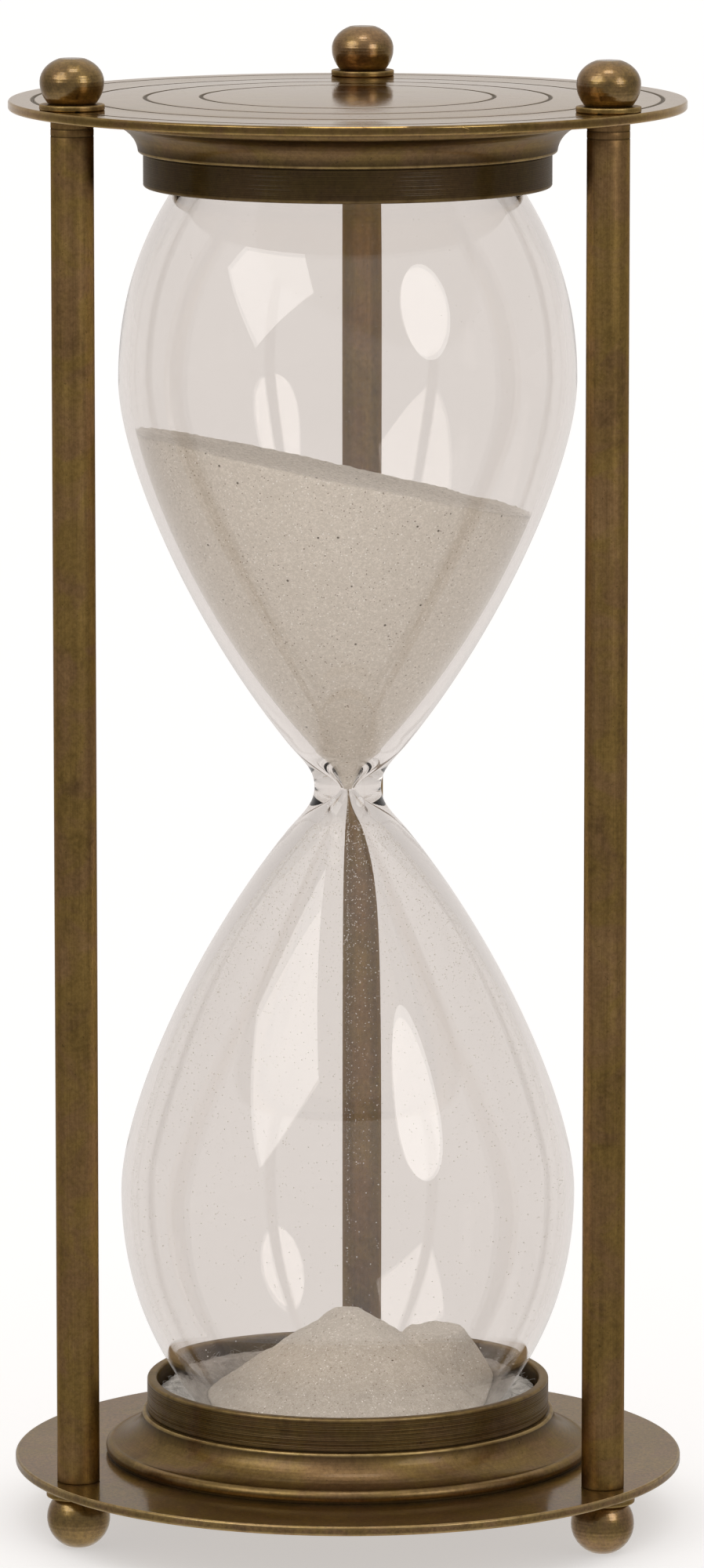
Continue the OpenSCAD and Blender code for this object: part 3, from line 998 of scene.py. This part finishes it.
def grains(name, spots):
    """Many small grains in one mesh. A spot is (x, y, z, size) in millimetres."""
    draw = np.random.default_rng(len(spots))
    corners = np.array([(1, 0, 0), (-1, 0, 0), (0, 1, 0), (0, -1, 0), (0, 0, 1), (0, 0, -1)], float)
    sides = ((0, 2, 4), (2, 1, 4), (1, 3, 4), (3, 0, 4), (2, 0, 5), (1, 2, 5), (3, 1, 5), (0, 3, 5))
    vertices, faces = [], []
    for x, y, z, size in spots:
        turn, _ = np.linalg.qr(draw.normal(size=(3, 3)))
        stretch = draw.uniform(0.7, 1.25, size=(6, 1))
        first = len(vertices)
        for corner in (corners * stretch) @ turn.T * size / 2:
            vertices.append((x + corner[0], y + corner[1], z + corner[2]))
        faces += [tuple(first + i for i in side) for side in sides]
    return make_object(name, vertices, faces, (0, 0, NECK_Z), sharp=20)


STREAM_GRAINS = 520
STREAM_CROWDING = 2.2
STREAM_R = 0.2
STREAM_SPREAD = 0.25


def make_stream():
    """Grains falling from the orifice to the heap, closer together near the top."""
    draw = np.random.default_rng(5)
    low, high = box_mm("sand_stream")
    fall = high.z - low.z
    spots = []
    for _ in range(STREAM_GRAINS):
        share = draw.random() ** STREAM_CROWDING
        r = (STREAM_R + STREAM_SPREAD * share) * math.sqrt(draw.random())
        a = 2 * math.pi * draw.random()
        z = high.z - NECK_Z - 0.1 - (fall - 0.2) * share
        spots.append((r * math.cos(a), r * math.sin(a), z, draw.uniform(0.1, 0.2)))
    piece = grains("sand_stream_grains", spots)
    return hand_in(piece, "frame", "sand", dust_material("sand_falling", 23.0), "sand_stream")


CLINGING_LOW = 8000
CLINGING_FROM = 7
CLINGING_SPAN = 103
CLINGING_FADE = 115
CLINGING_HIGH = 240
CLINGING_HIGH_FROM = 72
CLINGING_HIGH_SPAN = 40


def make_clinging():
    """Grains that cling to the inside of the glass, closer together near the neck in the lower
    bulb, and a few above the sand in the upper one."""
    draw = np.random.default_rng(8)
    spots = []
    while len(spots) < CLINGING_LOW:
        distance = CLINGING_FROM + CLINGING_SPAN * draw.random()
        r = radius_at(INNER_HALF, distance)
        if draw.random() > 1.05 - distance / CLINGING_FADE:
            continue
        a = 2 * math.pi * draw.random()
        size = 0.12 + 0.2 * draw.random() ** 2
        r -= 0.35 * size + 0.02
        spots.append((r * math.cos(a), r * math.sin(a), -distance, size))
    for _ in range(CLINGING_HIGH):
        distance = CLINGING_HIGH_FROM + CLINGING_HIGH_SPAN * draw.random()
        r = radius_at(INNER_HALF, distance) - 0.1
        a = 2 * math.pi * draw.random()
        spots.append((r * math.cos(a), r * math.sin(a), distance, draw.uniform(0.10, 0.2)))
    piece = grains("sand_clinging_grains", spots)
    return hand_in(piece, "frame", "sand", dust_material("sand_clinging", 31.0))


# ---------------------------------------------------------------- cotton

COTTON_SEGMENTS = 288
COTTON_EDGE = 1.0
COTTON_UNDER = 3.9
FIBRES = 700
FIBRE_SIDES = 5
FIBRE_STEPS = 9
FIBRE_STEP = 0.42


def make_wadding(end, material):
    """Cotton between the glass and the bore of a collar, lumpy on its open side."""
    upper = end == "top"
    bore = RING_R - RING_WALL - 0.15
    outer = half_glass(-0.1, 0)
    base = 0.15
    top = WADDING_H - 0.3

    def inner_edge(height):
        distance = NECK_Z - INNER_BOTTOM - height
        return radius_at(outer, distance) if distance < GLASS_HALF else 0.0

    rows = [[0, base, 0, 0], [20, base, 0, 0], [bore - 0.3, base, 0, 0], [bore, base + 0.4, 0, 0]]
    for share in (0.3, 0.6, 0.85):
        rows.append([bore, top * share, 0, 0])
    wall_in = inner_edge(top)
    for k in range(15):
        t = k / 14
        r = bore + (wall_in - bore) * t
        z = top - COTTON_EDGE + COTTON_EDGE * math.sin(math.pi * t) ** 0.5
        rows.append([r, z, 1.0, 0])
    for k in range(1, 12):
        height = top - COTTON_EDGE - (top - COTTON_EDGE - COTTON_UNDER) * k / 11
        rows.append([inner_edge(height) + 0.05, height, 0, 0])
    last = NECK_Z - INNER_BOTTOM - GLASS_HALF - 0.12
    rows.append([END_R - 0.2, last, 0, 0])
    rows.append([0, last, 0, 0])
    place = (0, 0, INNER_TOP if upper else INNER_BOTTOM)
    piece = lathe(f"{end}_cotton_pad", rows, place, COTTON_SEGMENTS, flip=upper, sharp=180)
    loose = np.zeros(len(piece.data.vertices), np.float32)
    piece.data.attributes["wear"].data.foreach_get("value", loose)
    way = -1 if upper else 1
    for vertex, share in zip(piece.data.vertices, loose):
        if share > 0:
            x, y, z = vertex.co / MM
            lump = 0.45 * soft_noise(x, y, 0, 3.0, 6.6) + 0.3 * soft_noise(x, y, 0, 0.9, 1.1)
            vertex.co.z += way * (lump - 0.35) * MM
    return hand_in(piece, "frame", "cotton", material, f"{end}_wadding")


def make_fibres(end, material):
    """Loose fibres that stand up from the cotton."""
    upper = end == "top"
    draw = np.random.default_rng(17 if upper else 18)
    bore = RING_R - RING_WALL - 0.25
    floor_z = WADDING_H - 1.4
    glass_r = radius_at(half_glass(-0.3, 0), NECK_Z - INNER_BOTTOM - WADDING_H)
    vertices, faces = [], []
    for _ in range(FIBRES):
        a = 2 * math.pi * draw.random()
        r = draw.uniform(glass_r + 0.7, bore - 0.5)
        point = np.array((r * math.cos(a), r * math.sin(a), floor_z + draw.uniform(0, 0.6)))
        heading = draw.uniform(0, 2 * math.pi)
        rise = draw.uniform(-0.1, 0.5)
        thick = draw.uniform(0.02, 0.045)
        rings = []
        for _ in range(FIBRE_STEPS):
            heading += draw.normal(0, 0.45)
            rise += draw.normal(-0.05, 0.2)
            step = FIBRE_STEP * np.array((math.cos(heading) * math.cos(rise),
                                          math.sin(heading) * math.cos(rise), math.sin(rise)))
            point = point + step
            far = math.hypot(point[0], point[1])
            held = min(max(far, glass_r + 0.3), bore - 0.1)
            point[:2] *= held / far
            point[2] = min(max(point[2], floor_z - 0.2), WADDING_H + 0.3)
            across = np.cross(step, (0, 0, 1))
            across /= np.linalg.norm(across) + 1e-9
            other = np.cross(step, across)
            other /= np.linalg.norm(other) + 1e-9
            rings.append(list(range(len(vertices), len(vertices) + FIBRE_SIDES)))
            for j in range(FIBRE_SIDES):
                turn = 2 * math.pi * j / FIBRE_SIDES
                spot = point + thick * (math.cos(turn) * across + math.sin(turn) * other)
                vertices.append((spot[0], spot[1], -spot[2] if upper else spot[2]))
        faces += skin(rings) + [tuple(rings[0]), tuple(rings[-1])]
    piece = make_object(f"{end}_cotton_fibres", vertices, faces,
                        (0, 0, INNER_TOP if upper else INNER_BOTTOM), sharp=180)
    return hand_in(piece, "frame", "cotton", material)


# ---------------------------------------------------------------- studio

WHITE = (1.0, 1.0, 1.0, 1.0)
SOFT_WHITE = (1.0, 0.965, 0.94, 1.0)
TENT_WHITE = (1.0, 0.975, 0.955, 1.0)
BACKDROP_STRENGTH = 1.05


def make_world():
    """A pale studio: soft light that falls on the object and is mirrored in it, a bright tent
    for what is seen through the glass, and white behind the object."""
    world = bpy.data.worlds.new("studio")
    bpy.context.scene.world = world
    world.use_nodes = True
    s = Nodes(world.node_tree)
    s.tree.nodes.clear()
    way = s.node("SeparateXYZ", {0: s.node("TexCoord", {}).outputs["Generated"]})
    up, back = way.outputs["Z"], way.outputs["Y"]
    zenith = s.spread(up, 0.2, 0.95, 0.0, 0.45)
    below = s.spread(up, -0.25, -0.9, 0.0, 0.5)
    backdrop = s.spread(back, 0.2, 0.85, 0.36, 0.75)
    light = s.math("ADD", s.math("ADD", zenith, below), backdrop)
    tent = s.spread(up, -0.6, 0.5, 1.0, 0.72)
    path = s.node("LightPath", {})
    result = s.node("Background", {"Color": SOFT_WHITE, "Strength": light}).outputs[0]
    for kind, colour, strength in (("Is Transmission Ray", TENT_WHITE, tent),
                                   ("Is Camera Ray", WHITE, BACKDROP_STRENGTH)):
        other = s.node("Background", {"Color": colour, "Strength": strength}).outputs[0]
        result = s.node("MixShader", {0: path.outputs[kind], 1: result, 2: other}).outputs[0]
    s.node("OutputWorld", {"Surface": result})


def direction(azimuth, elevation):
    """The unit vector towards an azimuth from -Y round to +X, and an elevation, in degrees."""
    a, e = math.radians(azimuth), math.radians(elevation)
    return Vector((math.sin(a) * math.cos(e), -math.cos(a) * math.cos(e), math.sin(e)))


SOFTBOX_DISTANCE = 1.25
LAMP_WHITE = (1.0, 0.985, 0.965)
SUN_STRENGTH = 0.5
SUN_ANGLE = 70


def softbox(name, azimuth, elevation, width, height, brightness, shape="RECTANGLE", roll=0):
    """A soft lamp that faces the object. Lengths are metres, and brightness is the light it
    gives per area and angle. roll turns it about its own middle."""
    lamp = bpy.data.lights.new(name, "AREA")
    lamp.shape = shape
    lamp.size = width
    lamp.size_y = height
    lamp.energy = brightness * 4 * width * height
    lamp.color = LAMP_WHITE
    holder = add_object(name, lamp)
    middle = (cad_low + cad_high) / 2
    holder.location = middle + SOFTBOX_DISTANCE * direction(azimuth, elevation)
    holder.rotation_mode = "QUATERNION"
    upright = (holder.location - middle).to_track_quat("Z", "Y")
    holder.rotation_quaternion = upright @ Quaternion((0, 0, 1), math.radians(roll))
    return holder


def left_out(name, *things):
    """A light linking collection that takes things out of a lamp's light."""
    made = bpy.data.collections.new(name)
    for k, thing in enumerate(things):
        made.objects.link(thing)
        made.collection_objects[k].light_linking.link_state = "EXCLUDE"
    return made


def make_lights(floor, glass):
    """Softboxes that don't light the floor, so that it stays even, a wide overhead light, and a
    low fill light for the sand."""
    unlit = left_out("not_lit_by_softboxes", floor)
    left = softbox("softbox_left", -44, 35, 0.76, 0.76, 1.85, roll=45)
    right = softbox("softbox_right", 45, 24, 0.54, 0.68, 1.95, "ELLIPSE")
    fill = softbox("fill", 0, 3, 1.2, 0.3, 0.25)
    for lamp in (left, right, fill):
        lamp.light_linking.receiver_collection = unlit
    top = softbox("softbox_top", 10, 76, 0.42, 0.28, 3.0)
    top.light_linking.receiver_collection = left_out("not_lit_from_above", floor, glass)
    sun = bpy.data.lights.new("overhead", "SUN")
    sun.energy = SUN_STRENGTH
    sun.angle = math.radians(SUN_ANGLE)
    overhead = add_object("overhead", sun)
    for lamp in (fill, overhead):
        lamp.visible_glossy = False
        lamp.visible_transmission = False


FLOOR_HALF = 12.0
FLOOR_GAP = 0.00005


def make_floor():
    """A pale floor just under the feet, a little brighter to the camera than to the object."""
    mesh = bpy.data.meshes.new("floor")
    corners = [(x * FLOOR_HALF, y * FLOOR_HALF, -FLOOR_GAP)
               for x, y in ((-1, -1), (1, -1), (1, 1), (-1, 1))]
    mesh.from_pydata(corners, [], [(0, 1, 2, 3)])
    floor = add_object("floor", mesh)
    s = Surface("pale_floor")
    seen = s.node("LightPath", {}).outputs["Is Camera Ray"]
    glow = s.math("MULTIPLY_ADD", seen, 0.13, 0.36)
    mesh.materials.append(s.finish(Base_Color=(0.62, 0.615, 0.61, 1.0), Roughness=0.9,
                                   Specular_IOR_Level=0.0, Emission_Strength=glow,
                                   Emission_Color=(1.0, 0.99, 0.985, 1.0)))
    floor.visible_glossy = False
    return floor


CAMERA_AZIMUTH = 2.87
CAMERA_ELEVATION = 8.9
CAMERA_DISTANCE = 1.7037
CAMERA_AIM = (0.0008, 0.0, 0.1412)
CAMERA_LENS = 206.9


def make_camera():
    data = bpy.data.cameras.new("camera")
    data.lens = CAMERA_LENS
    data.sensor_width = 36.0
    data.clip_start = 0.05
    data.clip_end = 20.0
    camera = add_object("camera", data)
    back = direction(CAMERA_AZIMUTH, CAMERA_ELEVATION)
    camera.location = Vector(CAMERA_AIM) + CAMERA_DISTANCE * back
    camera.rotation_mode = "QUATERNION"
    camera.rotation_quaternion = back.to_track_quat("Z", "Y")
    bpy.context.scene.camera = camera


# Enough for light that is reflected many times inside the thick neck of the glass
LIGHT_BOUNCES = 48


def main():
    scene = bpy.context.scene
    scene.view_settings.view_transform = "Standard"
    scene.cycles.max_bounces = LIGHT_BOUNCES
    scene.cycles.glossy_bounces = LIGHT_BOUNCES
    scene.cycles.transmission_bounces = LIGHT_BOUNCES
    make_camera()
    make_world()
    floor = make_floor()
    make_plate("bottom", 1.3)
    make_plate("top", 7.1)
    make_collar("bottom", 2.9)
    make_collar("top", 5.7)
    for k, side in enumerate(SIDES):
        make_pillar(side, 13.0 + 31.7 * k)
        for kind in ("finial", "foot"):
            seed = 40.0 + 9.3 * k + (4.1 if kind == "foot" else 0.0)
            make_ball(kind, side, seed)
            make_washer(kind, side, seed + 60)
    make_lights(floor, make_glass())
    make_cork()
    make_upper_sand()
    make_lower_sand()
    make_stream()
    make_clinging()
    cotton = cotton_material()
    for end in ("bottom", "top"):
        make_wadding(end, cotton)
        make_fibres(end, cotton)


main()
